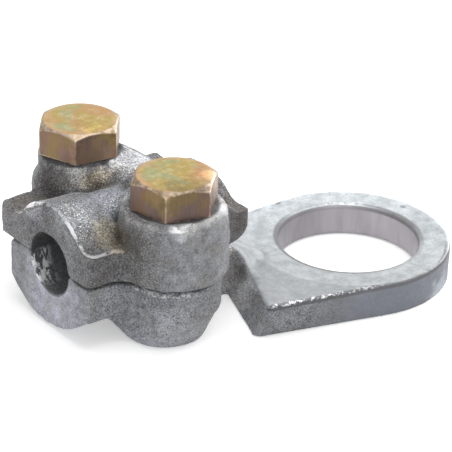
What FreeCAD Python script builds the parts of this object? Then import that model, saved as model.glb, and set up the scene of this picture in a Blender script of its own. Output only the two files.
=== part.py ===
import FreeCAD, Part
import math
import os

# Ring terminal: a lower casting with a ring lug, a saddle cap over the cable
# groove, and two hexagon bolts that draw the cap down. Millimetres, +Z up.
# The origin is on the cable axis, on the parting plane, midway between the
# bolts. +X runs along the clamp from the cable's entry towards the ring, and
# the cable bore is slightly askew to it.

Vector = FreeCAD.Vector
UP = Vector(0, 0, 1)

# Clamp as a whole
clamp_half_length = 16.2
bolt_pitch = 26.7
rest_depth = 12.0
cable_bore_radius = 5.2
cable_skew = 4.6
cable_overrun = 5.0

# Cap
crown_near_height = 10.8
crown_far_height = 8.8
cap_flange_height = 5.5
cap_near_front_half_width = 12.2
cap_near_rear_half_width = 13.3
cap_far_front_half_width = 13.1
cap_far_rear_half_width = 13.4
cap_front_corner_round = 1.8
cap_corner_round = 0.8
cap_far_underside_round = 4.0
saddle_near_half_width = 9.8
saddle_far_half_width = 8.5
saddle_near_y = -2.0
saddle_far_y = -0.2
shoulder_slope = 37.0
shoulder_round = 4.0
waist_inset = 1.9
waist_drop = 0.3
waist_half_length = 7.6
bridge_foot_start = -3.0
bridge_top_start = 1.0
bridge_top = 10.9
bridge_top_end = 6.5
bridge_foot_end = 14.0
front_seat_height = 11.4
rear_seat_height = 11.0
cap_front_boss_radius = 9.0
cap_rear_boss_radius = 8.3
cap_front_boss_top_radius = 8.9
cap_rear_boss_top_radius = 7.2
cap_boss_flare = 2.0
cap_boss_root_round = 3.0
cap_boss_rim_round = 1.3
cap_lip_round = 1.2
cap_hole_radius = 4.5

# Lower casting, clamp half
ear_front_half_width = 11.8
ear_rear_half_width = 10.6
far_half_width = 10.0
ear_depth = 6.8
ear_corner_round = 0.8
far_drop = 3.0
far_drop_length = 5.2
trough_half_width = 10.5
trough_depth = 11.5
groove_lip_round = 0.7
base_boss_radius = 8.0
base_boss_root_round = 3.0
boss_gap = 1.0
boss_gap_near_start = -9.0
boss_gap_near_depth = 0.3
boss_gap_far_start = 3.5
boss_gap_far_end = 9.0
boss_gap_inside_y = 7.5
thread_boss_top_radius = 7.6
thread_boss_radius = 6.8
thread_boss_shift_x = -0.8
thread_boss_shift_y = 1.2
thread_boss_flare = 3.4
thread_fit = 0.05

# Ring lug
ring_x = 37.6
ring_y = -14.2
ring_hole_radius = 12.2
ring_hole_chamfer = 0.4
ring_outer_radius = 17.7
lug_thickness = 6.2
spot_face_radius = 17.6
spot_face_depth = 0.2
lug_edge_round = 0.6
lug_corner_round = 1.2
lug_corner_x = 10.2
lug_corner_y = -25.6
lug_foot_x = 9.1
lug_foot_y = -23.8
lug_root_x = 17.6
lug_root_foot_x = 14.4
lug_root_inside_x = 12.5
lug_root_overlap = 0.5
far_web_x = 25.0
gusset_far_y = 6.0
gusset_point_x = 14.6
gusset_point_y = -16.0

# Bolts, M8 hexagon
bolt_radius = 4.0
bolt_length = 20.0
bolt_tip_chamfer = 0.8
head_across_flats = 13.0
head_height = 5.3
head_chamfer_angle = 30.0
head_crown_radius = 6.2
front_head_turn = 42.7
rear_head_turn = 49.8

bolt_y = bolt_pitch / 2
lug_top = lug_thickness - rest_depth
far_drop_start_x = clamp_half_length - far_drop_length
gusset_end_x = far_drop_start_x - lug_top * far_drop_length / far_drop
ring_centre = Vector(ring_x, ring_y, 0)
FRONT, REAR = -1, 1
NEAR, FAR = -1, 1
SIDES = (FRONT, REAR)
cap_half_widths = {(NEAR, FRONT): cap_near_front_half_width, (NEAR, REAR): cap_near_rear_half_width,
                   (FAR, FRONT): cap_far_front_half_width, (FAR, REAR): cap_far_rear_half_width}
cap_corner_rounds = {(NEAR, FRONT): cap_front_corner_round, (NEAR, REAR): cap_corner_round,
                     (FAR, FRONT): cap_corner_round, (FAR, REAR): cap_corner_round}
cap_boss_radii = {FRONT: cap_front_boss_radius, REAR: cap_rear_boss_radius}
base_half_widths = {(NEAR, FRONT): ear_front_half_width, (NEAR, REAR): ear_rear_half_width,
                    (FAR, FRONT): far_half_width, (FAR, REAR): far_half_width}
base_corner_rounds = dict.fromkeys(base_half_widths, ear_corner_round)
base_boss_radii = dict.fromkeys(SIDES, base_boss_radius)


def arc(start, middle, end):
    return Part.Arc(start, middle, end).toShape()


def face_of(edges):
    return Part.Face(Part.Wire(Part.__sortEdges__(edges)))


def section_point(y, z):
    """A point of the clamp's cross-section at the cable entry."""
    return Vector(-clamp_half_length, y, z)


def along_clamp(edges):
    """A bar over the clamp's length, with its cross-section outlined at the cable entry."""
    return face_of(edges).extrude(Vector(2 * clamp_half_length, 0, 0))


def along_cable(edges):
    """A bar along the cable's own axis, which runs slightly askew, and past both ends of the clamp."""
    section = face_of(edges).translated(Vector(-cable_overrun, 0, 0))
    bar = section.extrude(Vector(2 * (clamp_half_length + cable_overrun), 0, 0))
    return bar.rotated(Vector(), UP, cable_skew)


def across_clamp(corners, start_y, end_y):
    """A prism across the clamp, from corners given along the clamp and in height."""
    points = [Vector(x, start_y, z) for x, z in corners]
    outline = Part.makePolygon(points + points[:1])
    return Part.Face(outline).extrude(Vector(0, end_y - start_y, 0))


def turned(points, centre):
    """A solid of revolution about a vertical axis, from corners given as radius and height."""
    corners = [Vector(centre.x + radius, centre.y, z) for radius, z in points]
    outline = Part.makePolygon(corners + corners[:1])
    return Part.Face(outline).revolve(Vector(centre.x, centre.y, 0), UP, 360)


def column(centre, radius, bottom, top):
    return Part.makeCylinder(radius, top - bottom, Vector(centre.x, centre.y, bottom))


def middle_of(edge):
    return edge.valueAt((edge.FirstParameter + edge.LastParameter) / 2)


def round_edges(shape, radius, wanted):
    return shape.makeFillet(radius, [edge for edge in shape.Edges if wanted(edge)])


def is_circle_at(edge, z, radius):
    curve = edge.Curve
    return (isinstance(curve, Part.Circle) and abs(curve.Center.z - z) < 0.01
            and abs(curve.Radius - radius) < 0.01)


def bolt_centre(side):
    return Vector(0, side * bolt_y, 0)


def cable_groove(lip_round, upward):
    """The space of one half of the cable bore, widened by a round lip at the parting plane."""
    reach = cable_bore_radius + lip_round
    lip_y = math.sqrt(reach ** 2 - lip_round ** 2)
    touch_y = lip_y * cable_bore_radius / reach
    touch_z = lip_round * cable_bore_radius / reach
    halfway = (math.pi / 2 + math.atan2(lip_round, lip_y)) / 2
    middle_y = lip_y - lip_round * math.cos(halfway)
    middle_z = lip_round - lip_round * math.sin(halfway)
    edges = [arc(section_point(-touch_y, upward * touch_z), section_point(0, upward * cable_bore_radius),
                 section_point(touch_y, upward * touch_z)),
             Part.makeLine(section_point(-lip_y, 0), section_point(lip_y, 0))]
    for side in SIDES:
        edges.append(arc(section_point(side * lip_y, 0), section_point(side * middle_y, upward * middle_z),
                         section_point(side * touch_y, upward * touch_z)))
    return along_cable(edges)


def flange_slab(half_widths, corner_rounds, boss_radii, root_round, bottom, top):
    """A slab in plan like the clamp: a flange at each end, and a round boss bulging from each side."""
    def point(x, y):
        return Vector(x, y, bottom)

    edges = []
    half = clamp_half_length
    for end, side in half_widths:
        half_width = half_widths[end, side]
        boss_radius = boss_radii[side]
        boss_eighth = boss_radius * math.sqrt(0.5)
        corner_round = corner_rounds[end, side]
        diagonal = corner_round * (1 - math.sqrt(0.5))
        root_x = math.sqrt((boss_radius + root_round) ** 2 - (bolt_y - half_width - root_round) ** 2)
        root_centre = point(end * root_x, side * (half_width + root_round))
        to_boss = bolt_centre(side) + Vector(0, 0, bottom) - root_centre
        to_boss.normalize()
        to_flange = Vector(0, -side, 0)
        halfway = (to_boss + to_flange).normalize()
        edges += [
            Part.makeLine(point(end * half, 0), point(end * half, side * (half_width - corner_round))),
            arc(point(end * half, side * (half_width - corner_round)),
                point(end * (half - diagonal), side * (half_width - diagonal)),
                point(end * (half - corner_round), side * half_width)),
            Part.makeLine(point(end * (half - corner_round), side * half_width),
                          root_centre + to_flange * root_round),
            arc(root_centre + to_flange * root_round, root_centre + halfway * root_round,
                root_centre + to_boss * root_round),
            arc(root_centre + to_boss * root_round,
                point(end * boss_eighth, side * (bolt_y + boss_eighth)),
                point(0, side * (bolt_y + boss_radius))),
        ]
    return face_of(edges).extrude(UP * (top - bottom))


def saddle_outline(x, middle_y, foot_half_width, height):
    """The arch's cross-section: a crown arc, straight slopes, and concave shoulders into the flanges."""
    def point(y, z):
        return Vector(x, middle_y + y, z)

    slope = math.radians(shoulder_slope)
    reach = math.sin(slope) * foot_half_width + math.cos(slope) * cap_flange_height
    crown_radius = (reach - math.cos(slope) * height) / (1 - math.cos(slope))
    tangent_y = crown_radius * math.sin(slope)
    tangent_z = height - crown_radius * (1 - math.cos(slope))
    run = shoulder_round * math.tan(slope / 2)
    shoulder_y = foot_half_width - run * math.cos(slope)
    shoulder_z = cap_flange_height + run * math.sin(slope)
    shoulder_end_y = foot_half_width + run
    shoulder_mid_y = shoulder_end_y - shoulder_round * math.sin(slope / 2)
    shoulder_mid_z = cap_flange_height + shoulder_round * (1 - math.cos(slope / 2))
    edges = [arc(point(-tangent_y, tangent_z), point(0, height), point(tangent_y, tangent_z)),
             Part.makeLine(point(-shoulder_end_y, 0), point(shoulder_end_y, 0))]
    for side in SIDES:
        slope_foot = point(side * shoulder_y, shoulder_z)
        shoulder_end = point(side * shoulder_end_y, cap_flange_height)
        edges += [Part.makeLine(point(side * tangent_y, tangent_z), slope_foot),
                  arc(slope_foot, point(side * shoulder_mid_y, shoulder_mid_z), shoulder_end),
                  Part.makeLine(shoulder_end, point(side * shoulder_end_y, 0))]
    return Part.Wire(Part.__sortEdges__(edges))


def saddle(inset, drop):
    """The cap's arch, which narrows and falls away towards the ring."""
    near = saddle_outline(-clamp_half_length, saddle_near_y, saddle_near_half_width - inset,
                          crown_near_height - drop)
    far = saddle_outline(clamp_half_length, saddle_far_y, saddle_far_half_width - inset,
                         crown_far_height - drop)
    return Part.makeLoft([near, far], True, True)


def cap_plan(top):
    """The cap's outline in plan, as a slab up to the height given."""
    return flange_slab(cap_half_widths, cap_corner_rounds, cap_boss_radii, cap_boss_root_round, 0, top)


def bridge():
    """The level bar between the two bosses, with a ramp down to the flanges at each end."""
    root_z = cap_flange_height - 0.5
    corners = [(bridge_foot_start, root_z), (bridge_foot_start, cap_flange_height),
               (bridge_top_start, bridge_top), (bridge_top_end, bridge_top),
               (bridge_foot_end, cap_flange_height), (bridge_foot_end, root_z)]
    return across_clamp(corners, -bolt_y, bolt_y)


def cap_boss(side, seat_height, top_radius):
    """The round boss under a bolt head, flared where it stands on the flange."""
    boss_radius = cap_boss_radii[side]
    boss = turned([(0, 0), (boss_radius, 0), (boss_radius, cap_flange_height),
                   (top_radius, cap_flange_height + cap_boss_flare), (top_radius, seat_height),
                   (0, seat_height)], bolt_centre(side))
    return round_edges(boss, cap_boss_rim_round, lambda edge: is_circle_at(edge, seat_height, top_radius))


def far_underside_relief():
    """What the round lower edge of the cap lacks at the ring end."""
    radius = cap_far_underside_round
    start = clamp_half_length - radius
    beyond = clamp_half_length + 1
    corner = across_clamp([(start, -1), (beyond, -1), (beyond, radius), (start, radius)],
                          -bolt_pitch, bolt_pitch)
    axis_start = Vector(start, -bolt_pitch, radius)
    return corner.cut(Part.makeCylinder(radius, 2 * bolt_pitch, axis_start, Vector(0, 1, 0)))


def make_cap():
    waist = Part.makeBox(2 * waist_half_length, 2 * bolt_pitch, 2 * front_seat_height,
                         Vector(-waist_half_length, -bolt_pitch, -front_seat_height))
    ends = saddle(0, 0).cut(waist)
    middle = saddle(waist_inset, waist_drop).common(waist)
    arch = ends.fuse(middle).fuse(bridge()).common(cap_plan(front_seat_height))
    bosses = [cap_boss(FRONT, front_seat_height, cap_front_boss_top_radius),
              cap_boss(REAR, rear_seat_height, cap_rear_boss_top_radius)]
    spaces = [cable_groove(cap_lip_round, 1), far_underside_relief()]
    for side in SIDES:
        spaces.append(column(bolt_centre(side), cap_hole_radius, -1, front_seat_height + 1))
    return cap_plan(cap_flange_height).fuse([arch] + bosses).cut(spaces).removeSplitter()


def trough():
    """The round-bottomed body under the cable groove."""
    corners = [section_point(-trough_half_width, -ear_depth), section_point(-trough_half_width, -boss_gap),
               section_point(trough_half_width, -boss_gap), section_point(trough_half_width, -ear_depth)]
    edges = [Part.makeLine(start, end) for start, end in zip(corners, corners[1:])]
    return along_clamp(edges + [arc(corners[0], section_point(0, -trough_depth), corners[-1])])


def lug_wire(corner, root_x):
    """The ring lug's outline at the corner's height: ring arc, edges, and a root inside the clamp."""
    def point(x, y):
        return Vector(x, y, corner.z)

    centre = point(ring_x, ring_y)
    to_corner = corner - centre
    bearing = math.atan2(to_corner.y, to_corner.x) + math.acos(ring_outer_radius / to_corner.Length)
    middle_bearing = (bearing + math.pi / 2) / 2
    near_tangent = centre + Vector(math.cos(bearing), math.sin(bearing), 0) * ring_outer_radius
    arc_middle = centre + Vector(math.cos(middle_bearing), math.sin(middle_bearing), 0) * ring_outer_radius
    far_tangent = centre + Vector(0, ring_outer_radius, 0)
    root_y = far_half_width - lug_root_overlap
    outline = [far_tangent, point(far_web_x, far_tangent.y),
               point(clamp_half_length - lug_root_overlap, root_y), point(lug_root_inside_x, root_y),
               point(lug_root_inside_x, -root_y), point(root_x, -root_y), corner, near_tangent]
    edges = [Part.makeLine(start, end) for start, end in zip(outline, outline[1:])]
    return Part.Wire([arc(near_tangent, arc_middle, far_tangent)] + edges)


def is_lug_corner(edge):
    middle_x = (lug_corner_x + lug_foot_x) / 2
    return abs(middle_of(edge).x - middle_x) < 0.1 and abs(edge.tangentAt(edge.FirstParameter).z) > 0.5


def is_lug_rim(edge):
    middle = middle_of(edge)
    return abs(middle.z - lug_top) < 0.01 and (middle.x > clamp_half_length or middle.y < -far_half_width)


def make_lug():
    """The flat ring lug: its side walls lean in towards the foot, and its end face leans out."""
    foot = lug_wire(Vector(lug_foot_x, lug_foot_y, -rest_depth), lug_root_foot_x)
    top = lug_wire(Vector(lug_corner_x, lug_corner_y, lug_top), lug_root_x)
    lug = Part.makeLoft([foot, top], True, True)
    lug = round_edges(lug, lug_corner_round, is_lug_corner)
    lug = round_edges(lug, lug_edge_round, is_lug_rim)
    face_z = lug_top - spot_face_depth
    mouth_radius = ring_hole_radius + 2 * ring_hole_chamfer
    hole = turned([(0, -rest_depth - ring_hole_chamfer), (mouth_radius, -rest_depth - ring_hole_chamfer),
                   (ring_hole_radius, -rest_depth + ring_hole_chamfer),
                   (ring_hole_radius, face_z - ring_hole_chamfer),
                   (mouth_radius, face_z + ring_hole_chamfer), (0, face_z + ring_hole_chamfer)], ring_centre)
    return lug.cut([hole, column(ring_centre, spot_face_radius, face_z, 0)])


def leaning_cone(bottom_centre, bottom_radius, top_centre, top_radius):
    rings = [Part.Wire(Part.makeCircle(bottom_radius, bottom_centre)),
             Part.Wire(Part.makeCircle(top_radius, top_centre))]
    return Part.makeLoft(rings, True, True)


def base_plan(bottom, top):
    return flange_slab(base_half_widths, base_corner_rounds, base_boss_radii, base_boss_root_round,
                       bottom, top)


def make_thread_boss(side):
    """The tapered boss around a bolt's thread, with a flare towards the cable entry."""
    foot = Vector(thread_boss_shift_x, side * (bolt_y - thread_boss_shift_y), -rest_depth)
    head = bolt_centre(side) - UP * ear_depth
    flare = Vector(foot.x - thread_boss_flare, foot.y, -ear_depth)
    cone = leaning_cone(foot, thread_boss_radius, head, thread_boss_top_radius)
    flared = leaning_cone(foot, thread_boss_radius, flare, thread_boss_top_radius)
    return cone.fuse(flared.common(base_plan(-rest_depth, -ear_depth)))


def boss_gap_space(side):
    """The gap that keeps a lower boss clear of the cap, so that the bolt can draw the cap down."""
    beyond = clamp_half_length + 1
    corners = [(-beyond, 1), (-beyond, -boss_gap_near_depth), (boss_gap_near_start, -boss_gap),
               (boss_gap_far_start, -boss_gap), (boss_gap_far_end, 0), (boss_gap_far_end, 1)]
    return across_clamp(corners, side * boss_gap_inside_y, side * bolt_pitch)


def far_drop_wedge():
    """What the top of the casting lacks at the ring end, where it falls away from the cap to the lug."""
    corners = [(far_drop_start_x, 0), (gusset_end_x, 0), (gusset_end_x, lug_top)]
    return across_clamp(corners, -bolt_pitch, bolt_pitch)


def gusset():
    """The ramp from the lug up to the clamp, drawn out to a point along the lug's end face."""
    start_x = clamp_half_length - lug_root_overlap
    bottom = lug_top - lug_root_overlap
    root_y = far_half_width - lug_root_overlap
    plan = [Vector(start_x, -far_half_width, bottom), Vector(gusset_end_x, -far_half_width, bottom),
            Vector(gusset_end_x, gusset_far_y, bottom), Vector(start_x, root_y, bottom)]
    ramp = Part.Face(Part.makePolygon(plan + plan[:1])).extrude(UP * -bottom)
    ramp_top = (far_drop_start_x - start_x) * far_drop / far_drop_length
    side = [plan[0], plan[1], Vector(gusset_end_x, -far_half_width, lug_top),
            Vector(start_x, -far_half_width, ramp_top)]
    point = Part.Vertex(gusset_point_x, gusset_point_y, lug_top)
    return ramp.fuse(Part.makeLoft([Part.makePolygon(side + side[:1]), point], True, True))


def make_lug_body():
    body = base_plan(-ear_depth, 0).fuse([trough(), make_lug(), gusset()])
    body = body.fuse([make_thread_boss(side) for side in SIDES])
    spaces = [cable_groove(groove_lip_round, -1), far_drop_wedge()]
    for side in SIDES:
        spaces.append(boss_gap_space(side))
        spaces.append(column(bolt_centre(side), bolt_radius + thread_fit, -rest_depth - 1, 1))
    return body.cut(spaces).removeSplitter()


def make_bolt(side, seat_height, turn):
    centre = bolt_centre(side)
    corner_radius = head_across_flats / math.sqrt(3)
    corners = []
    for index in range(7):
        angle = math.radians(turn + 60 * index)
        outwards = Vector(math.cos(angle), math.sin(angle), 0)
        corners.append(centre + outwards * corner_radius + UP * seat_height)
    head = Part.Face(Part.makePolygon(corners)).extrude(UP * head_height)
    head_top = seat_height + head_height
    rise = math.tan(math.radians(head_chamfer_angle))
    cone_base = head_top - (corner_radius - head_crown_radius + 1) * rise
    crown = turned([(0, seat_height), (corner_radius + 1, seat_height), (corner_radius + 1, cone_base),
                    (head_crown_radius, head_top), (0, head_top)], centre)
    tip = seat_height - bolt_length
    shank = turned([(0, tip), (bolt_radius - bolt_tip_chamfer, tip), (bolt_radius, tip + bolt_tip_chamfer),
                    (bolt_radius, seat_height), (0, seat_height)], centre)
    return head.common(crown).fuse(shank).removeSplitter()


pieces = {
    "lug_body": make_lug_body(),
    "clamp_cap": make_cap(),
    "front_bolt": make_bolt(FRONT, front_seat_height, front_head_turn),
    "rear_bolt": make_bolt(REAR, rear_seat_height, rear_head_turn),
}

os.makedirs("parts", exist_ok=True)
for name, shape in pieces.items():
    solid = shape.Solids[0]
    print(name, "valid", solid.isValid(), "solids", len(shape.Solids), "faces", len(solid.Faces),
          "volume", round(solid.Volume, 1))
    solid.exportStep(f"parts/{name}.step")
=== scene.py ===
import math

import bpy
import numpy as np
from mathutils import Matrix, Vector


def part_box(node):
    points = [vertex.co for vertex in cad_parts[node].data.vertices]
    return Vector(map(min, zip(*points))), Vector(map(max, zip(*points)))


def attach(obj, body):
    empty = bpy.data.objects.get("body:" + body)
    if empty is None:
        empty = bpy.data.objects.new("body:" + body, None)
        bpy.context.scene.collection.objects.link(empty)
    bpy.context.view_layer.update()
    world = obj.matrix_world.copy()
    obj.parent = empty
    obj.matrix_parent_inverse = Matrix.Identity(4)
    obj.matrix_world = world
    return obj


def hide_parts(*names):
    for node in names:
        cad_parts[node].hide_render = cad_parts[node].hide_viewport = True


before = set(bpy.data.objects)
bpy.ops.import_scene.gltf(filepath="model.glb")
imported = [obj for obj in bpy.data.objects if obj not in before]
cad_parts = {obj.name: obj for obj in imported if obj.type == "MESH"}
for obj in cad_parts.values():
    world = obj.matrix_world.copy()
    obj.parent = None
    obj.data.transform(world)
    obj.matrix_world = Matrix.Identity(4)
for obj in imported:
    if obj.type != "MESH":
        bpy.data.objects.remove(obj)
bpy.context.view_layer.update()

# the pieces' settings give sizes and places in millimetres, and Blender takes metres
mm = 0.001


# helpers used by every piece

def deselectAll():
    if bpy.context.mode != "OBJECT":
        bpy.ops.object.mode_set(mode="OBJECT")
    bpy.ops.object.select_all(action="DESELECT")


def makeActive(piece):
    deselectAll()
    piece.select_set(True)
    bpy.context.view_layer.objects.active = piece


def editAll(piece):
    makeActive(piece)
    bpy.ops.object.mode_set(mode="EDIT")
    bpy.ops.mesh.select_all(action="SELECT")


def weldVertices():
    bpy.ops.mesh.remove_doubles(threshold=0.002 * mm)


def leaveEdit():
    bpy.ops.object.mode_set(mode="OBJECT")


def applyModifier(piece, kind, **values):
    makeActive(piece)
    modifier = piece.modifiers.new(kind.lower(), kind)
    for name, value in values.items():
        setattr(modifier, name, value)
    bpy.ops.object.modifier_apply(modifier=modifier.name)


def remeshPiece(piece, voxel):
    applyModifier(piece, "REMESH", mode="VOXEL", voxel_size=voxel * mm, adaptivity=0.0)


def smoothPiece(piece, rounds, group=""):
    applyModifier(piece, "SMOOTH", factor=0.5, iterations=rounds, vertex_group=group)


def copyOfNode(node, name):
    # the CAD node's own mesh, merged into one skin
    piece = bpy.data.objects.new(name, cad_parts[node].data.copy())
    bpy.context.scene.collection.objects.link(piece)
    piece.data.materials.clear()
    editAll(piece)
    weldVertices()
    leaveEdit()
    return piece


def cloudTexture(name, size, depth):
    texture = bpy.data.textures.new(name, "CLOUDS")
    texture.noise_scale = size * mm
    texture.noise_depth = depth
    texture.noise_basis = "ORIGINAL_PERLIN"
    return texture


def readSkin(piece):
    # the places in mm, the normals and the edges of a piece's vertices
    mesh = piece.data
    places = np.empty(len(mesh.vertices) * 3)
    mesh.vertices.foreach_get("co", places)
    normals = np.empty(len(mesh.vertices) * 3)
    mesh.vertex_normals.foreach_get("vector", normals)
    ends = np.empty(len(mesh.edges) * 2, dtype=np.int32)
    mesh.edges.foreach_get("vertices", ends)
    return places.reshape(-1, 3) / mm, normals.reshape(-1, 3), ends.reshape(-1, 2)


def spreadOut(values, ends, rounds):
    # every round gives each vertex the mean of its neighbours
    columns = values.reshape(len(values), -1).copy()
    counts = np.bincount(ends.ravel(), minlength=len(values))
    for _ in range(rounds):
        for index in range(columns.shape[1]):
            column = columns[:, index]
            total = (np.bincount(ends[:, 0], column[ends[:, 1]], len(values))
                     + np.bincount(ends[:, 1], column[ends[:, 0]], len(values)))
            columns[:, index] = total / counts
    return columns.reshape(values.shape)


def hollowDepth(piece, rounds):
    # how far each vertex lies under its smoothed surroundings, in mm: under 0 on an edge, over 0 in a hollow
    places, normals, ends = readSkin(piece)
    return ((spreadOut(places, ends, rounds) - places) * normals).sum(axis=1)


def blend(values, low, high):
    return np.clip((values - low) / (high - low), 0.0, 1.0)


def insideSlopes(places, slopes):
    # 1 past every slope and 0 before any of them: a slope is an axis and the places where it starts and ends
    weights = np.ones(len(places))
    for axis, low, high in slopes:
        weights *= blend(places[:, "XYZ".index(axis)], low, high)
    return weights


def weightGroup(piece, name, weights):
    faintest = 0.02
    group = piece.vertex_groups.new(name=name)
    for index in np.nonzero(weights > faintest)[0]:
        group.add((int(index),), float(weights[index]), "REPLACE")
    return name


def storeMask(piece, name, values):
    mask = piece.data.attributes.new(name, "FLOAT", "POINT")
    mask.data.foreach_set("value", values.astype(np.float32))


def markEdges(piece, voxel, rounds):
    # the skin's bend in 1/mm, over 0 on an outer edge: a vertex lies a quarter of bend x voxel x voxel above
    # the mean of its neighbours
    ends = readSkin(piece)[2]
    bend = -4.0 * hollowDepth(piece, 1) / voxel ** 2
    storeMask(piece, "edgeBend", spreadOut(bend, ends, rounds))


# node helpers

class NodeBook:
    # adds nodes to a tree and wires them, so that a material reads top to bottom
    def __init__(self, tree):
        self.tree = tree

    def add(self, kind, inputs=None, **settings):
        node = self.tree.nodes.new(kind)
        for name, value in settings.items():
            setattr(node, name, value)
        for key, value in (inputs or {}).items():
            self.give(node.inputs[key], value)
        return node

    def give(self, socket, value):
        if isinstance(value, bpy.types.NodeSocket):
            self.tree.links.new(value, socket)
        elif socket.type == "RGBA":
            socket.default_value = value + (1.0,)
        else:
            socket.default_value = value

    def math(self, operation, first, second=0.0, clamped=False):
        node = self.add("ShaderNodeMath", {0: first, 1: second}, operation=operation, use_clamp=clamped)
        return node.outputs[0]

    def highest(self, first, *others):
        for other in others:
            first = self.math("MAXIMUM", first, other)
        return first

    def times(self, first, *others):
        for other in others:
            first = self.math("MULTIPLY", first, other)
        return first

    def ramp(self, value, low, high, toLow=0.0, toHigh=1.0):
        node = self.add("ShaderNodeMapRange", {"Value": value, "From Min": low, "From Max": high,
                                               "To Min": toLow, "To Max": toHigh})
        return node.outputs[0]

    def past(self, reach, radius, margins):
        # a ramp over a distance from an axis, given by its margins past a radius
        return self.ramp(reach, radius + margins[0], radius + margins[1])

    def zone(self, place, slopes):
        # the same as insideSlopes, in nodes
        return self.times(*[self.ramp(place[axis], low, high) for axis, low, high in slopes])

    def along(self, place, direction):
        # how far a place lies along a level direction
        return self.math("ADD", self.times(place["X"], direction[0]), self.times(place["Y"], direction[1]))

    def mix(self, factor, first, second, blendType="MIX"):
        node = self.add("ShaderNodeMix", data_type="RGBA", blend_type=blendType)
        for key, value in ((0, factor), (6, first), (7, second)):
            self.give(node.inputs[key], value)
        return node.outputs[2]

    def mixValue(self, factor, first, second):
        return self.add("ShaderNodeMix", {0: factor, 2: first, 3: second}).outputs[0]

    def noise(self, coords, offset, scale, detail=3.0, roughness=0.6, distortion=0.0):
        # the offset sets each noise apart from the others
        moved = self.add("ShaderNodeVectorMath", {0: coords, 1: offset}, operation="ADD").outputs[0]
        node = self.add("ShaderNodeTexNoise", {"Vector": moved, "Scale": scale, "Detail": detail,
                                               "Roughness": roughness, "Distortion": distortion})
        return node.outputs[0]

    def mapped(self, coords, scale=(1.0, 1.0, 1.0), turn=0.0):
        return self.add("ShaderNodeMapping", {"Vector": coords, "Rotation": (0.0, 0.0, turn),
                                              "Scale": scale}).outputs[0]

    def distance(self, coords, place):
        return self.add("ShaderNodeVectorMath", {0: coords, 1: place}, operation="DISTANCE").outputs["Value"]

    def axisDistance(self, first, second):
        # how far a place lies from an axis, from its two coordinates across it
        return self.distance(self.add("ShaderNodeCombineXYZ", {0: first, 1: second, 2: 0.0}).outputs[0],
                             (0.0, 0.0, 0.0))

    def mask(self, name):
        return self.add("ShaderNodeAttribute", attribute_name=name).outputs["Fac"]

    def millimetres(self):
        coords = self.add("ShaderNodeTexCoord").outputs["Object"]
        return self.add("ShaderNodeVectorMath", {0: coords, "Scale": 1.0 / mm}, operation="SCALE").outputs[0]

    def facing(self):
        # 1 where the surface looks up, 0 on a wall
        normal = self.add("ShaderNodeNewGeometry").outputs["Normal"]
        return self.add("ShaderNodeSeparateXYZ", {0: normal}).outputs["Z"]

    def split(self, coords):
        return self.add("ShaderNodeSeparateXYZ", {0: coords}).outputs

    def seenPlain(self):
        # 1 for the camera, and for what metal and glass show, 0 for the light that falls on the part
        path = self.add("ShaderNodeLightPath").outputs
        return self.highest(path["Is Camera Ray"], path["Is Glossy Ray"], path["Is Transmission Ray"])


def startGroup(name, inputs, outputs):
    tree = bpy.data.node_groups.new(name, "ShaderNodeTree")
    for direction, sockets in (("INPUT", inputs), ("OUTPUT", outputs)):
        for socketName, kind in sockets.items():
            tree.interface.new_socket(name=socketName, in_out=direction, socket_type="NodeSocket" + kind)
    book = NodeBook(tree)
    return book, book.add("NodeGroupInput").outputs, book.add("NodeGroupOutput").inputs


def startMaterial(name):
    material = bpy.data.materials.new(name)
    material.use_nodes = True
    book = NodeBook(material.node_tree)
    return material, book, material.node_tree.nodes["Principled BSDF"]


def finishMaterial(book, shader, color, rough, height, settings):
    strength, distance = settings["bump"]
    bump = book.add("ShaderNodeBump", {"Strength": strength, "Distance": distance * mm, "Height": height})
    book.give(shader.inputs["Base Color"], color)
    book.give(shader.inputs["Roughness"], rough)
    book.give(shader.inputs["Normal"], bump.outputs[0])
    shader.inputs["Metallic"].default_value = settings["metallic"]


# the skin of both castings, sand-cast iron under zinc, and of the cable bore between them, darkened with
# painted shade
# a noise is its offset, scale, detail, roughness and distortion, as far as they are given

castLook = {
    "fine": ((0.0, 0.0, 0.0), 3.6, 4.0, 0.80), "pepper": ((13.0, 7.0, 23.0), 3.0, 3.0, 0.65),
    "coarse": ((7.0, 3.0, 11.0), 0.60, 4.0, 0.65), "stains": ((31.0, 17.0, 5.0), 0.20, 4.0, 0.6),
    "flecks": ((3.0, 29.0, 13.0), 3.6, 1.0, 0.5),
    "grainSwing": 0.62, "driftSwing": 0.26, "middleTone": 0.54, "pitDepth": 0.8,
    "pitColor": (0.035, 0.034, 0.036), "hollowShadeAndOxide": (0.035, 0.032, 0.031),
    "rimShadeColor": (0.07, 0.068, 0.07), "rimShadeShare": 0.75,
    "wornRimShineColor": (0.93, 0.94, 0.95), "fleckColor": (0.80, 0.80, 0.80),
    "roughness": (0.60, 0.44), "rimPolish": 0.12,
    "patchNoise": ((0.0, 0.0, 0.0), 0.5, 4.0, 0.65), "patchWander": 0.35, "patchEdge": (1.15, 0.55),
    "filletDepth": (0.02, 0.10), "spread": 3,
    "boreRadius": 5.2, "boreSkew": 4.6, "boreWall": (0.5, 0.25), "boreShadeShare": 0.75}


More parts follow.
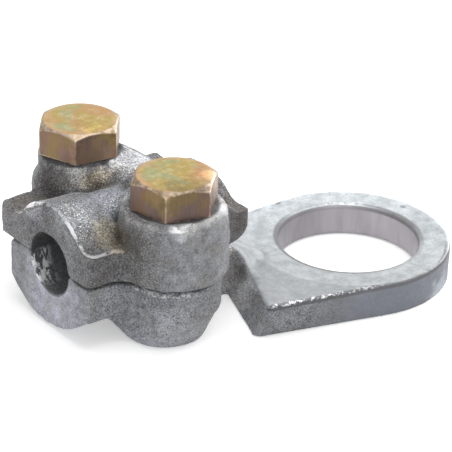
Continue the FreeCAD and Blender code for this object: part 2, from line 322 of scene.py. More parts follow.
def buildCastSkin():
    # salt and pepper grain, glittering flecks, mottling, bright worn rims with a painted highlight, painted
    # shade under the rims, and hollows darkened by painted shade with some oxide
    book, given, result = startGroup("castSkin", {
        "Dark": "Color", "Light": "Color", "Warm": "Color", "Warm Share": "Float", "Rim Share": "Float",
        "Fleck Share": "Float", "Hollow Share": "Float", "Wall Calm": "Float", "Calm": "Float",
        "Bend": "Float", "Hollow": "Float"}, {"Color": "Color", "Roughness": "Float", "Height": "Float"})
    coords = book.millimetres()
    facing = book.facing()
    wallCalm = book.times(book.ramp(facing, 0.45, 0.10), given["Wall Calm"])  # upright walls are smoother
    fierce = book.math("SUBTRACT", 1.0, book.highest(wallCalm, given["Calm"]))
    fine = book.noise(coords, *castLook["fine"])
    pepper = book.noise(coords, *castLook["pepper"])
    coarse = book.noise(coords, *castLook["coarse"])
    stains = book.noise(coords, *castLook["stains"])
    grain = book.times(book.ramp(fine, 0.37, 0.63, -castLook["grainSwing"], castLook["grainSwing"]), fierce)
    drift = book.ramp(coarse, 0.3, 0.7, -castLook["driftSwing"], castLook["driftSwing"])
    tone = book.math("ADD", book.math("ADD", grain, drift), castLook["middleTone"], clamped=True)
    color = book.mix(tone, given["Dark"], given["Light"])
    warmth = book.times(book.ramp(stains, 0.44, 0.60), given["Warm Share"])
    color = book.mix(warmth, color, given["Warm"])
    pits = book.times(book.ramp(pepper, 0.43, 0.36), fierce, castLook["pitDepth"])
    color = book.mix(pits, color, castLook["pitColor"])
    # painted shade in the hollows, with some oxide
    hollowShare = book.times(book.ramp(given["Hollow"], 0.06, 0.45), given["Hollow Share"])
    color = book.mix(hollowShare, color, castLook["hollowShadeAndOxide"])
    edgeShare = book.times(book.ramp(given["Bend"], 0.38, 0.9), given["Rim Share"])
    # a thin dark line of painted shade just under the rounded rims
    rimShade = book.times(edgeShare, book.ramp(facing, 0.05, 0.16), book.ramp(facing, 0.42, 0.26))
    color = book.mix(book.times(rimShade, castLook["rimShadeShare"]), color, castLook["rimShadeColor"])
    broken = book.ramp(coarse, 0.36, 0.50)  # the rims, worn zinc with a painted highlight, break up, over the thin dark line of painted shade
    wornRimShine = book.times(edgeShare, book.ramp(facing, 0.24, 0.48), broken)
    color = book.mix(wornRimShine, color, castLook["wornRimShineColor"])
    flecks = book.ramp(book.noise(coords, *castLook["flecks"]), 0.59, 0.66)
    flecks = book.times(flecks, book.ramp(facing, 0.12, 0.60, 0.45, 1.0), book.ramp(stains, 0.40, 0.55),
                        fierce, book.math("SUBTRACT", 1.0, hollowShare), given["Fleck Share"])
    color = book.mix(flecks, color, castLook["fleckColor"])
    rough = book.math("SUBTRACT", book.ramp(fine, 0.35, 0.7, *castLook["roughness"]),
                      book.times(wornRimShine, castLook["rimPolish"]))
    book.give(result["Color"], color)
    book.give(result["Roughness"], rough)
    book.give(result["Height"], book.math("SUBTRACT", grain, pits))
    return book.tree


def buildPatch():
    # a patch about a point, with a wandering edge, for a stain or for painted light and shade
    book, given, result = startGroup("patch", {"Place": "Vector", "Radius": "Float"}, {"Mask": "Float"})
    coords = book.millimetres()
    wander = book.ramp(book.noise(coords, *castLook["patchNoise"]), 0.3, 0.7,
                       -castLook["patchWander"], castLook["patchWander"])
    reach = book.math("DIVIDE", book.distance(coords, given["Place"]), given["Radius"])
    book.give(result["Mask"], book.ramp(book.math("ADD", reach, wander), *castLook["patchEdge"]))
    return book.tree


def addPatches(book, color, patches):
    # a patch is its place, its radius and the colour that it multiplies by
    for place, radius, tint in patches:
        patch = book.add("ShaderNodeGroup", node_tree=patchGroup)
        patch.inputs["Place"].default_value = place
        patch.inputs["Radius"].default_value = radius
        color = book.mix(patch.outputs["Mask"], color, tint, "MULTIPLY")
    return color


def castSurface(book, settings, calm, rims):
    # the cast skin with the piece's own values, and its patches of stain and of painted light and shade
    skin = book.add("ShaderNodeGroup", node_tree=castSkin)
    for name, value in settings["skin"].items():
        book.give(skin.inputs[name], value)
    book.give(skin.inputs["Calm"], calm)
    book.give(skin.inputs["Rim Share"], rims)
    book.give(skin.inputs["Bend"], book.mask("edgeBend"))
    book.give(skin.inputs["Hollow"], book.mask("hollow"))
    color = addPatches(book, skin.outputs["Color"], settings["patches"])
    return color, skin.outputs["Roughness"], skin.outputs["Height"]


def boreMask(book, coords):
    # 1 on the wall of the cable bore, which runs slightly askew along X
    place = book.split(book.mapped(coords, turn=-math.radians(castLook["boreSkew"])))
    reach = book.axisDistance(place["Y"], place["Z"])
    return book.past(reach, castLook["boreRadius"], castLook["boreWall"])


def shadedGlossyBore(book, color, rough, bore, settings):
    # painted shade darkens the bore, which is also shiny
    color = book.mix(book.times(bore, castLook["boreShadeShare"]), color, settings["boreShadeColor"])
    return color, book.mixValue(bore, rough, settings["boreRoughness"])


def softenCasting(piece, settings, castWeights, softSpots):
    # round fillets in the hollows, worn edges, waves, grain and lumps
    remeshPiece(piece, settings["voxel"])
    for index, rounds in enumerate(settings["filletRounds"]):
        places, _, ends = readSkin(piece)
        hollows = blend(hollowDepth(piece, settings["filletReach"]), *castLook["filletDepth"])
        weights = np.maximum(spreadOut(hollows, ends, castLook["spread"]), softSpots(places))
        smoothPiece(piece, rounds, weightGroup(piece, "fillet%d" % index, weights * castWeights(places)))
    cast = weightGroup(piece, "cast", castWeights(readSkin(piece)[0]))
    smoothPiece(piece, settings["wornRounds"], cast)
    markEdges(piece, settings["voxel"], castLook["spread"])
    storeMask(piece, "hollow", hollowDepth(piece, settings["hollowReach"]))
    for name, size, height, depth in settings["clouds"]:
        applyModifier(piece, "DISPLACE", texture=cloudTexture(name, size, depth), texture_coords="LOCAL",
                      mid_level=0.5, strength=height * mm, vertex_group=cast)
    for index, (place, radius, height) in enumerate(settings["lumps"]):
        places = readSkin(piece)[0]
        near = blend(np.linalg.norm(places - np.array(place), axis=1), radius, 0.0)
        rounded = near * near * (3.0 - 2.0 * near)
        lump = weightGroup(piece, "lump%d" % index, rounded * castWeights(places))
        applyModifier(piece, "DISPLACE", mid_level=0.0, strength=height * mm, vertex_group=lump)
    makeActive(piece)
    bpy.ops.object.shade_smooth()
    piece.vertex_groups.clear()
    print(piece.name, "faces", len(piece.data.polygons))


castSkin = buildCastSkin()
patchGroup = buildPatch()
print("node groups built")

# the lower casting: clamp half, bosses and ring lug

lowerCasting = {
    "voxel": 0.31,
    "filletRounds": (45, 45), "filletReach": 12, "wornRounds": 2, "hollowReach": 40,  # all in rounds
    "clouds": (("waves", 3.5, 0.28, 1), ("grains", 1.1, 0.16, 2)),  # name, size, height and depth
    "lumps": (),
    "ringCentre": (37.6, -14.2), "ringHole": 12.2, "spotFace": 17.6, "ringTop": -6.0,
    "holeMargin": 1.2, "faceMargin": 0.8, "faceDepth": 0.25, "parting": -0.12, "underside": -11.85,
    "rampSlopes": (("X", 12.5, 15.0), ("X", 25.0, 22.5), ("Y", -19.0, -17.0), ("Y", 9.0, 7.0),
                   ("Z", -7.6, -6.6)),
    "skin": {"Dark": (0.11, 0.11, 0.115), "Light": (0.42, 0.435, 0.47), "Warm": (0.19, 0.180, 0.165),
             "Warm Share": 0.4, "Fleck Share": 0.6, "Hollow Share": 0.15, "Wall Calm": 0.15},
    "metallic": 0.4, "bump": (0.75, 0.18), "machinedBump": 0.12,
    "machinedRoughness": 0.40, "lipRoughness": 0.85, "boreRoughness": 0.22, "boreShadeColor": (0.06, 0.06, 0.062),
    "entry": (("X", -15.2, -15.9),), "entryCalm": 0.5,
    "patches": (((-17.0, -2.0, -8.0), 9.0, (1.64, 1.65, 1.76)),  # painted light from the floor on the entry face
                ((-12.0, -12.5, -4.0), 4.5, (1.24, 1.24, 1.23)),
                ((-4.0, -18.0, -11.5), 7.5, (1.46, 1.47, 1.51)),  # painted light from the floor on the foot of the front boss
                ((14.0, -12.0, -6.5), 7.0, (2.30, 2.24, 2.16)),  # painted light on the lug's end face, which lies in the clamp's shade
                ((33.0, -32.0, -9.0), 6.0, (0.80, 0.80, 0.80))),
    "topPatches": (((16.6, -12.0, -4.7), 3.9, (0.64, 0.64, 0.64)),  # painted shade that dulls the light on the ramp's slope
                   ((20.8, -9.6, -5.5), 2.4, (0.82, 0.82, 0.82)),  # and on its foot
                   ((54.0, -19.0, -6.0), 6.0, (0.84, 0.84, 0.85)),
                   ((45.2, -30.8, -12.2), 4.0, (2.00, 1.98, 1.90))),  # painted light where the ring's wall turns away
    # the lug's smooth wall
    "wall": {"zone": (("X", 17.0, 27.0), ("Z", -5.0, -5.6)), "color": (0.165, 0.180, 0.214), "share": 0.75},
    # the lug's pale top, with a painted reflection that brightens it away from the clamp
    "top": {
        "zone": (("Z", -6.55, -6.30), ("X", 9.4, 10.0)),
        "belowRamp": (("Z", -5.1, -5.6),), "besideRamp": (("Y", -5.0, -8.0),),
        "mottle": ((0.0, 0.0, 0.0), 0.45, 5.0, 0.65),
        "dull": (0.34, 0.36, 0.37), "bright": (0.49, 0.515, 0.53),
        "streaks": ((5.0, 1.0, 9.0), 1.6, 4.0, 0.7), "streakColor": (0.26, 0.27, 0.28), "streakShare": 0.45,
        "away": (0.627, 0.779), "farSheenReach": (2.0, 30.0), "farSheenTint": (1.38, 1.40, 1.42),
        "cornerFrom": (17.3, 18.0), "cornerReach": (12.0, 0.0),
        "cornerColor": (0.24, 0.25, 0.255), "cornerShare": 0.6,
        "nicks": ((35.7, 2.9, -6.0), (53.2, -11.2, -6.0), (49.7, -12.3, -6.4)), "nickSize": (0.75, 0.35),
        "nickColor": (0.16, 0.16, 0.17), "nickShare": 0.7},
    # the marks along the near edge: straight at first, and then the ring's rim
    "edge": {
        "across": (-0.254, -0.967),
        "straightFrom": (21.2, 21.45), "straight": (("X", 9.4, 10.0), ("X", 33.0, 32.0)),
        "rimFrom": (17.1, 16.6), "rimThins": (42.0, 50.0), "rimFade": 0.3,
        "rim": (("X", 31.0, 32.0), ("X", 50.5, 48.0), ("Y", -9.0, -15.0)),
        "line": (("Z", -6.85, -6.60),), "edgeShadeColor": (0.115, 0.115, 0.12), "edgeShadeShare": 0.85,
        "burrGlintNoise": ((2.0, 6.0, 4.0), 1.5, 2.0, 0.6), "burrs": (("X", 33.0, 24.0), ("Z", -6.25, -6.12)),
        "burrGlintColor": (0.90, 0.90, 0.92), "burrGlintShare": 0.9,
        "bossEdgeGlints": (("Z", -1.85, -1.65), ("Y", -13.0, -14.0), ("X", -10.0, -8.5), ("X", 0.0, -3.0)),
        "bossEdgeGlintColor": (0.85, 0.85, 0.85), "bossEdgeGlintShare": 0.8},
    # the turned hole, with the distances of its wall, lip and shine past its radius
    "hole": {
        "wall": (0.25, 0.12), "stretch": (1.0, 1.0, 0.25), "streaks": ((0.0, 0.0, 0.0), 0.5),
        "dull": (0.36, 0.34, 0.36), "bright": (0.43, 0.41, 0.43),
        "lit": (("X", 37.0, 50.0),), "shadeTint": (0.77, 0.77, 0.78), "litTint": (1.16, 1.16, 1.18),
        "lip": (1.15, 0.75), "lipDepth": (("Z", -7.0, -6.7),), "lipShadeColor": (0.16, 0.155, 0.16),
        "lipLeft": (("X", 36.0, 30.0),), "lipRight": (("X", 46.0, 50.0),), "lipShadeShare": (0.25, 0.78),
        "matt": (("X", 40.0, 34.0),),
        "shine": (0.35, 0.5), "shinePlace": (44.8, -4.0, -6.3), "shineReach": (4.4, 2.6),
        "shineColor": (0.90, 0.90, 0.92)},
    # the glints in the bore
    "bore": {"glints": ((0.0, 0.0, 0.0), 0.9, 4.0, 0.7, 0.3), "stretch": (1.5, 0.7, 0.7),
             "glintZone": (("X", -12.0, -14.0), ("Y", 0.0, 2.0)), "glintColor": (0.92, 0.95, 0.97)}}


def lowerCastWeights(places):
    # 1 on the raw casting, 0 on the machined ring face, the hole, the parting plane and the underside
    x, y, z = places.T
    reach = np.hypot(x - lowerCasting["ringCentre"][0], y - lowerCasting["ringCentre"][1])
    machined = reach < lowerCasting["ringHole"] + lowerCasting["holeMargin"]
    machined |= ((reach < lowerCasting["spotFace"] - lowerCasting["faceMargin"])
                 & (z > lowerCasting["ringTop"] - lowerCasting["faceDepth"]))
    return np.where(machined | (z > lowerCasting["parting"]) | (z < lowerCasting["underside"]), 0.0, 1.0)


def lowerSoftSpots(places):
    # the ramp from the lug up to the clamp has no sharp lines
    return insideSlopes(places, lowerCasting["rampSlopes"])


def lugTopFace(book, place):
    # 1 on the lug's level top, 0 on its walls and on the rough part of the ramp
    look = lowerCasting["top"]
    offRamp = book.highest(book.zone(place, look["belowRamp"]), book.zone(place, look["besideRamp"]))
    return book.times(book.ramp(book.facing(), 0.55, 0.80), book.zone(place, look["zone"]), offRamp)


def lugTopColor(book, coords, place, reach):
    # pale zinc with a painted reflection that brightens it away from the clamp, a mottled corner outside the
    # spot face, and nicks
    look = lowerCasting["top"]
    away = book.along(place, look["away"])
    mottle = book.noise(coords, *look["mottle"])
    streaks = book.noise(coords, *look["streaks"])
    color = book.mix(book.ramp(mottle, 0.36, 0.62), look["dull"], look["bright"])
    streakMask = book.ramp(streaks, 0.49, 0.38, 0.0, look["streakShare"])
    color = book.mix(streakMask, color, look["streakColor"])
    color = book.mix(book.ramp(away, *look["farSheenReach"]), color, look["farSheenTint"], "MULTIPLY")
    corner = book.times(book.ramp(reach, *look["cornerFrom"]), book.ramp(streaks, 0.36, 0.54),
                        book.ramp(away, *look["cornerReach"]), look["cornerShare"])
    color = book.mix(corner, color, look["cornerColor"])
    for nick in look["nicks"]:
        nickMask = book.ramp(book.distance(coords, nick), *look["nickSize"], 0.0, look["nickShare"])
        color = book.mix(nickMask, color, look["nickColor"])
    return color


def nearEdgeMask(book, place, reach):
    # 1 along the lug's near side: its straight edge, and then the ring's rim
    look = lowerCasting["edge"]
    straight = book.times(book.ramp(book.along(place, look["across"]), *look["straightFrom"]),
                          book.zone(place, look["straight"]))
    rimStart = book.ramp(place["X"], *look["rimThins"], *look["rimFrom"])
    rim = book.times(book.ramp(book.math("SUBTRACT", reach, rimStart), 0.0, look["rimFade"]),
                     book.zone(place, look["rim"]))
    return book.highest(straight, rim)


def edgeMarks(book, color, place, reach, burrGlintNoise):
    # a dark line of painted shade along the lug's near top edge, burrs with painted glints on its rough
    # half, and a painted glint line on the clamp's lip
    look = lowerCasting["edge"]
    edge = nearEdgeMask(book, place, reach)
    line = book.times(edge, book.zone(place, look["line"]), look["edgeShadeShare"])
    color = book.mix(line, color, look["edgeShadeColor"])
    burrs = book.times(edge, book.ramp(burrGlintNoise, 0.50, 0.60), book.zone(place, look["burrs"]),
                       look["burrGlintShare"])
    color = book.mix(burrs, color, look["burrGlintColor"])
    bossEdgeGlints = book.times(book.zone(place, look["bossEdgeGlints"]), book.ramp(burrGlintNoise, 0.46, 0.54),
                       look["bossEdgeGlintShare"])
    return book.mix(bossEdgeGlints, color, look["bossEdgeGlintColor"])


def holeWallColor(book, coords, place):
    # turned zinc with faint upright streaks, darker at the left and lighter at the right
    look = lowerCasting["hole"]
    streaks = book.noise(book.mapped(coords, look["stretch"]), *look["streaks"])
    color = book.mix(book.ramp(streaks, 0.35, 0.65), look["dull"], look["bright"])
    tint = book.mix(book.zone(place, look["lit"]), look["shadeTint"], look["litTint"])
    return book.mix(1.0, color, tint, "MULTIPLY")


def lipMarks(book, color, coords, place, reach, lip, burrGlintNoise):
    # the hole's rounded lip: painted shade at both sides, with a broken painted shine at the far edge
    look = lowerCasting["hole"]
    ends = book.highest(book.zone(place, look["lipLeft"]), book.zone(place, look["lipRight"]))
    share = book.times(lip, book.ramp(ends, 0.0, 1.0, *look["lipShadeShare"]))
    color = book.mix(share, color, look["lipShadeColor"])
    shine = book.times(book.past(reach, lowerCasting["ringHole"], look["shine"]), lip,
                       book.ramp(book.distance(coords, look["shinePlace"]), *look["shineReach"]),
                       book.ramp(burrGlintNoise, 0.45, 0.56))
    return book.mix(shine, color, look["shineColor"])


def boreGlints(book, color, coords, place, bore):
    # painted glints near the bore's entry
    look = lowerCasting["bore"]
    glints = book.ramp(book.noise(book.mapped(coords, look["stretch"]), *look["glints"]), 0.465, 0.54)
    glints = book.times(bore, glints, book.zone(place, look["glintZone"]))
    return book.mix(glints, color, look["glintColor"])


def lowerCastingMaterial():
    material, book, shader = startMaterial("zincCasting")
    coords = book.millimetres()
    place = book.split(coords)
    centreX, centreY = lowerCasting["ringCentre"]
    reach = book.axisDistance(book.math("SUBTRACT", place["X"], centreX),
                              book.math("SUBTRACT", place["Y"], centreY))
    wall = lowerCasting["wall"]
    smoothWall = book.times(book.zone(place, wall["zone"]), wall["share"])
    entryCalm = book.times(book.zone(place, lowerCasting["entry"]), lowerCasting["entryCalm"])
    color, rough, height = castSurface(book, lowerCasting, book.highest(smoothWall, entryCalm), 0.0)
    color = book.mix(smoothWall, color, wall["color"])
    face = lugTopFace(book, place)
    color = book.mix(face, color, lugTopColor(book, coords, place, reach))
    color = addPatches(book, color, lowerCasting["topPatches"])
    burrGlintNoise = book.noise(coords, *lowerCasting["edge"]["burrGlintNoise"])
    color = edgeMarks(book, color, place, reach, burrGlintNoise)
    hole = book.past(reach, lowerCasting["ringHole"], lowerCasting["hole"]["wall"])
    color = book.mix(hole, color, holeWallColor(book, coords, place))
    lip = book.times(book.past(reach, lowerCasting["ringHole"], lowerCasting["hole"]["lip"]),
                     book.zone(place, lowerCasting["hole"]["lipDepth"]))
    color = lipMarks(book, color, coords, place, reach, lip, burrGlintNoise)
    machined = book.highest(face, hole)
    mattLip = book.times(lip, book.zone(place, lowerCasting["hole"]["matt"]))
    rough = book.mixValue(machined, rough, lowerCasting["machinedRoughness"])
    rough = book.mixValue(mattLip, rough, lowerCasting["lipRoughness"])
    bore = boreMask(book, coords)
    color, rough = shadedGlossyBore(book, color, rough, bore, lowerCasting)
    color = boreGlints(book, color, coords, place, bore)
    height = book.times(height, book.ramp(machined, 0.0, 1.0, 1.0, lowerCasting["machinedBump"]))
    finishMaterial(book, shader, color, rough, height, lowerCasting)
    return material


lowerPiece = copyOfNode("lug_body", "lower_casting")
softenCasting(lowerPiece, lowerCasting, lowerCastWeights, lowerSoftSpots)
lowerPiece.data.materials.append(lowerCastingMaterial())
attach(lowerPiece, "lower casting")
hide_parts("lug_body")
print("lower casting done")

# the saddle cap

saddleCap = {
    "voxel": 0.25,
    "filletRounds": (30, 30, 30), "filletReach": 16, "wornRounds": 3, "hollowReach": 70,
    "clouds": (("capWaves", 3.5, 0.50, 1), ("capGrains", 1.0, 0.20, 2)),
    "lumps": (((-16.2, 4.0, 8.4), 4.5, 0.55), ((-10.5, -12.5, 5.4), 3.5, 0.35)),  # place, radius and height
    "boltReach": 13.35, "parting": 0.12, "boltHole": 4.9, "seatRadius": 6.6, "seatHeight": 10.8,
    "waistSlopes": (("X", -10.0, -8.8), ("X", -5.2, -6.4), ("Z", 5.6, 6.6)),
    "bridgeSlopes": (("X", -4.5, -3.0), ("X", 9.5, 8.0), ("Z", 7.5, 8.5)), "bridgeStart": (7.6, 8.6),
    "skin": {"Dark": (0.075, 0.073, 0.075), "Light": (0.42, 0.43, 0.455), "Warm": (0.17, 0.158, 0.135),
             "Warm Share": 0.45, "Fleck Share": 0.8, "Hollow Share": 0.7, "Wall Calm": 0.1},
    "metallic": 0.4, "bump": (0.85, 0.2), "boreRoughness": 0.25, "boreShadeColor": (0.04, 0.04, 0.042),
    "wornShineRims": (("Y", 9.0, 5.5), ("X", 9.0, 3.0), ("Z", 2.0, 4.0)),
    "dullRimPlace": (-16.0, -2.5, 10.3), "dullRimReach": (3.2, 4.4), "dullRimShare": 0.3,
    "calmBoss": (("X", -9.0, -6.0), ("Y", -12.0, -14.0)), "calmShare": 0.6,
    "headShadowReach": (7.5, 7.1), "headShadow": (("Z", 10.1, 10.5),),
    "headShadowColor": (0.045, 0.042, 0.042), "headShadowShare": 0.8,
    "patches": (((-7.2, 11.3, 7.4), 4.3, (0.44, 0.42, 0.41)),  # painted shade in the fillet at the foot of the rear boss
                ((-5.5, 9.1, 9.3), 3.4, (2.10, 2.10, 2.06)),  # painted highlight on the collar under the rear head, here and in the next two patches
                ((-0.5, 6.0, 10.6), 3.0, (1.35, 1.35, 1.35)),
                ((-3.4, 7.3, 8.9), 2.8, (2.00, 1.97, 1.90)),
                ((-2.0, 5.0, 8.0), 3.0, (1.22, 1.12, 0.95)),  # brown stain below it
                ((-9.8, -9.5, 6.7), 3.4, (1.46, 1.30, 1.00)),  # brown facet
                ((-13.5, -5.0, 10.0), 4.2, (1.55, 1.60, 1.65)),  # bright crown
                ((-5.0, -3.5, 9.2), 4.5, (1.38, 1.44, 1.54)),
                ((-8.0, -13.0, 7.0), 3.5, (0.60, 0.58, 0.55)),  # painted shade, with some oxide, in the valley beside the front boss
                ((15.0, -10.0, 4.0), 7.0, (0.62, 0.57, 0.52)),  # brown far flange
                ((-14.0, -12.5, 2.5), 4.5, (0.78, 0.77, 0.76)),
                ((-16.4, 1.0, 6.0), 6.0, (0.80, 0.79, 0.80)),  # the entry face
                ((-13.0, 10.0, 5.5), 4.0, (0.88, 0.82, 0.74)),
                ((5.4, 4.5, 10.9), 6.0, (2.80, 2.82, 2.86)),  # painted light on the bridge, which faces the light from the right
                ((6.0, -18.0, 11.2), 2.7, (1.80, 1.80, 1.80)),  # painted highlight on the front boss's rim, here and in the next patch
                ((-3.8, -20.6, 11.1), 2.1, (2.00, 2.00, 2.00)),
                ((-15.6, 3.5, 8.9), 3.0, (1.90, 1.90, 1.90)))}  # painted highlight on the arch's shoulder


def boltDistances(places):
    # how far each vertex lies from the axis of the bolt on its own side
    return np.hypot(places[:, 0], np.abs(places[:, 1]) - saddleCap["boltReach"])


def boltDistance(book, place):
    # the same in nodes
    aside = book.math("SUBTRACT", book.math("ABSOLUTE", place["Y"]), saddleCap["boltReach"])
    return book.axisDistance(place["X"], aside)


def capCastWeights(places):
    # 1 on the raw casting, 0 on the parting plane, in the bolt holes and under the heads
    height = places[:, 2]
    reach = boltDistances(places)
    underHead = (height > saddleCap["seatHeight"]) & (reach < saddleCap["seatRadius"])
    return np.where((height < saddleCap["parting"]) | (reach < saddleCap["boltHole"]) | underHead, 0.0, 1.0)


def capSoftSpots(places):
    # the waist's step and the bridge's lines are worn round
    offBosses = blend(boltDistances(places), *saddleCap["bridgeStart"])
    return np.maximum(insideSlopes(places, saddleCap["waistSlopes"]),
                      insideSlopes(places, saddleCap["bridgeSlopes"]) * offBosses)


def capMaterial():
    material, book, shader = startMaterial("zincCap")
    coords = book.millimetres()
    place = book.split(coords)
    # rims of worn zinc with a painted highlight, duller about one place
    dullRim = book.ramp(book.distance(coords, saddleCap["dullRimPlace"]), *saddleCap["dullRimReach"],
                        saddleCap["dullRimShare"], 1.0)
    rims = book.times(book.zone(place, saddleCap["wornShineRims"]), dullRim)
    calm = book.times(book.zone(place, saddleCap["calmBoss"]), saddleCap["calmShare"])
    color, rough, height = castSurface(book, saddleCap, calm, rims)
    headShadow = book.times(book.ramp(boltDistance(book, place), *saddleCap["headShadowReach"]),
                       book.zone(place, saddleCap["headShadow"]), saddleCap["headShadowShare"])
    color = book.mix(headShadow, color, saddleCap["headShadowColor"])  # painted contact shadow, a dark line under the heads
    color, rough = shadedGlossyBore(book, color, rough, boreMask(book, coords), saddleCap)
    finishMaterial(book, shader, color, rough, height, saddleCap)
    return material


capPiece = copyOfNode("clamp_cap", "saddle_cap")
softenCasting(capPiece, saddleCap, capCastWeights, capSoftSpots)
capPiece.data.materials.append(capMaterial())
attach(capPiece, "cap")
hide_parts("clamp_cap")
print("cap done")

# the two hexagon bolts

hexBolt = {
    "voxel": 0.14, "smoothRounds": 2, "edgeSpread": 2, "headHeight": 5.3,
    "shankRadius": 4.0, "crestRadius": 3.98, "rootRadius": 3.38, "pitch": 1.25,
    "threadRunout": 1.2, "tipClear": 1.2, "ridgeSteps": 36, "ridgeSink": 0.3,
    "crestHalfWidth": 0.07,  # a share of the pitch
    "metallic": 0.65, "bump": (0.35, 0.06), "roughness": (0.32, 0.46),
    "topEdge": (6.1, 6.32), "ringStain": (5.2, 6.0), "threadEnds": (4.4, 4.2),
    "drift": ((0.0, 0.0, 0.0), 0.15, 2.0, 0.5, 0.6), "stain": ((19.0, 5.0, 2.0), 0.20, 3.0, 0.55, 0.4),
    "cloud": ((4.0, 8.0, 2.0), 0.9, 4.0, 0.65), "grain": ((0.0, 0.0, 0.0), 4.0, 3.0, 0.6),
    "scratches": ((0.0, 0.0, 0.0), 0.8, 3.0, 0.7), "scratchStretch": (0.35, 5.0, 1.0), "scratchTurn": 0.6,
    "streaks": ((0.0, 0.0, 0.0), 1.0, 3.0, 0.6), "streakStretch": (3.0, 3.0, 0.35),
    "gold": (0.43, 0.310, 0.080), "orange": (0.50, 0.275, 0.12), "teal": (0.32, 0.355, 0.18),
    "pale": (0.60, 0.52, 0.30), "smudge": (0.24, 0.17, 0.06), "ring": (0.58, 0.36, 0.20),
    "chamferDark": (0.21, 0.145, 0.09), "chamferPale": (0.42, 0.335, 0.25),
    "olive": (0.22, 0.150, 0.060), "copper": (0.200, 0.115, 0.080), "mauve": (0.175, 0.118, 0.100),
    "streak": (0.30, 0.23, 0.19), "edge": (0.66, 0.54, 0.44), "thread": (0.42, 0.36, 0.22),
    "tealShare": 0.8, "paleShare": 0.55, "smudgeShare": 0.5, "ringShare": 0.75, "scratchShare": 0.6,
    "streakShare": 0.22, "edgeShare": 0.7,
    "patches": (((-1.5, -19.9, 14.0), 5.5, (0.60, 0.59, 0.61)),  # the front head's right side
                ((-1.0, 6.8, 12.6), 4.2, (1.75, 1.75, 1.50)),  # the rear head's right side
                ((5.5, -17.5, 16.0), 2.6, (1.9, 1.9, 2.0)))}  # painted reflection on the front head's right corner


def headTopColor(book, coords, reach, drift, stain, cloud):
    # gold with orange and teal stains, pale clouds, smudges, a copper ring and fine scratches
    color = book.mix(book.ramp(drift, 0.42, 0.58), hexBolt["gold"], hexBolt["orange"])
    color = book.mix(book.ramp(stain, 0.48, 0.62, 0.0, hexBolt["tealShare"]), color, hexBolt["teal"])
    color = book.mix(book.ramp(cloud, 0.50, 0.68, 0.0, hexBolt["paleShare"]), color, hexBolt["pale"])
    color = book.mix(book.ramp(cloud, 0.42, 0.28, 0.0, hexBolt["smudgeShare"]), color, hexBolt["smudge"])
    ring = book.times(book.ramp(reach, *hexBolt["ringStain"]), book.ramp(stain, 0.40, 0.55),
                      hexBolt["ringShare"])
    color = book.mix(ring, color, hexBolt["ring"])
    scratchCoords = book.mapped(coords, hexBolt["scratchStretch"], hexBolt["scratchTurn"])
    scratches = book.noise(scratchCoords, *hexBolt["scratches"])
    return book.mix(book.ramp(scratches, 0.40, 0.30, 0.0, hexBolt["scratchShare"]), color, hexBolt["smudge"])


def headSideColor(book, reach, drift, stain, streaks):
    # olive, copper and mauve with upright grain, and duller zinc on the thread
    color = book.mix(book.ramp(drift, 0.42, 0.58), hexBolt["olive"], hexBolt["copper"])
    color = book.mix(book.ramp(stain, 0.46, 0.62), color, hexBolt["mauve"])
    color = book.mix(book.ramp(streaks, 0.42, 0.72, 0.0, hexBolt["streakShare"]), color, hexBolt["streak"])
    return book.mix(book.ramp(reach, *hexBolt["threadEnds"]), color, hexBolt["thread"])


def boltMaterial():
    # yellow passivated zinc, with a pale chamfer and worn edges
    material, book, shader = startMaterial("yellowZinc")
    coords = book.millimetres()
    reach = boltDistance(book, book.split(coords))
    drift = book.noise(coords, *hexBolt["drift"])
    stain = book.noise(coords, *hexBolt["stain"])
    cloud = book.noise(coords, *hexBolt["cloud"])
    streaks = book.noise(book.mapped(coords, hexBolt["streakStretch"]), *hexBolt["streaks"])
    upward = book.ramp(book.facing(), 0.35, 0.70)
    chamfer = book.times(upward, book.ramp(reach, *hexBolt["topEdge"]))
    chamferColor = book.mix(book.ramp(cloud, 0.38, 0.62), hexBolt["chamferDark"], hexBolt["chamferPale"])
    top = book.mix(chamfer, headTopColor(book, coords, reach, drift, stain, cloud), chamferColor)
    color = book.mix(upward, headSideColor(book, reach, drift, stain, streaks), top)
    color = addPatches(book, color, hexBolt["patches"])
    worn = book.times(book.ramp(book.mask("edgeBend"), 0.7, 2.4), book.ramp(cloud, 0.35, 0.55),
                      hexBolt["edgeShare"])
    color = book.mix(worn, color, hexBolt["edge"])
    grain = book.noise(coords, *hexBolt["grain"])
    height = book.math("ADD", book.times(grain, 0.5), book.times(streaks, 0.5))
    rough = book.ramp(cloud, 0.35, 0.65, *hexBolt["roughness"])
    finishMaterial(book, shader, color, rough, height, hexBolt)
    return material


def selectBelow(mesh, height):
    # selects the vertices below a height, in object mode, and edit mode then finds their edges and faces
    for part in (mesh.polygons, mesh.edges):
        part.foreach_set("select", [False] * len(part))
    for vertex in mesh.vertices:
        vertex.select = vertex.co.z < height


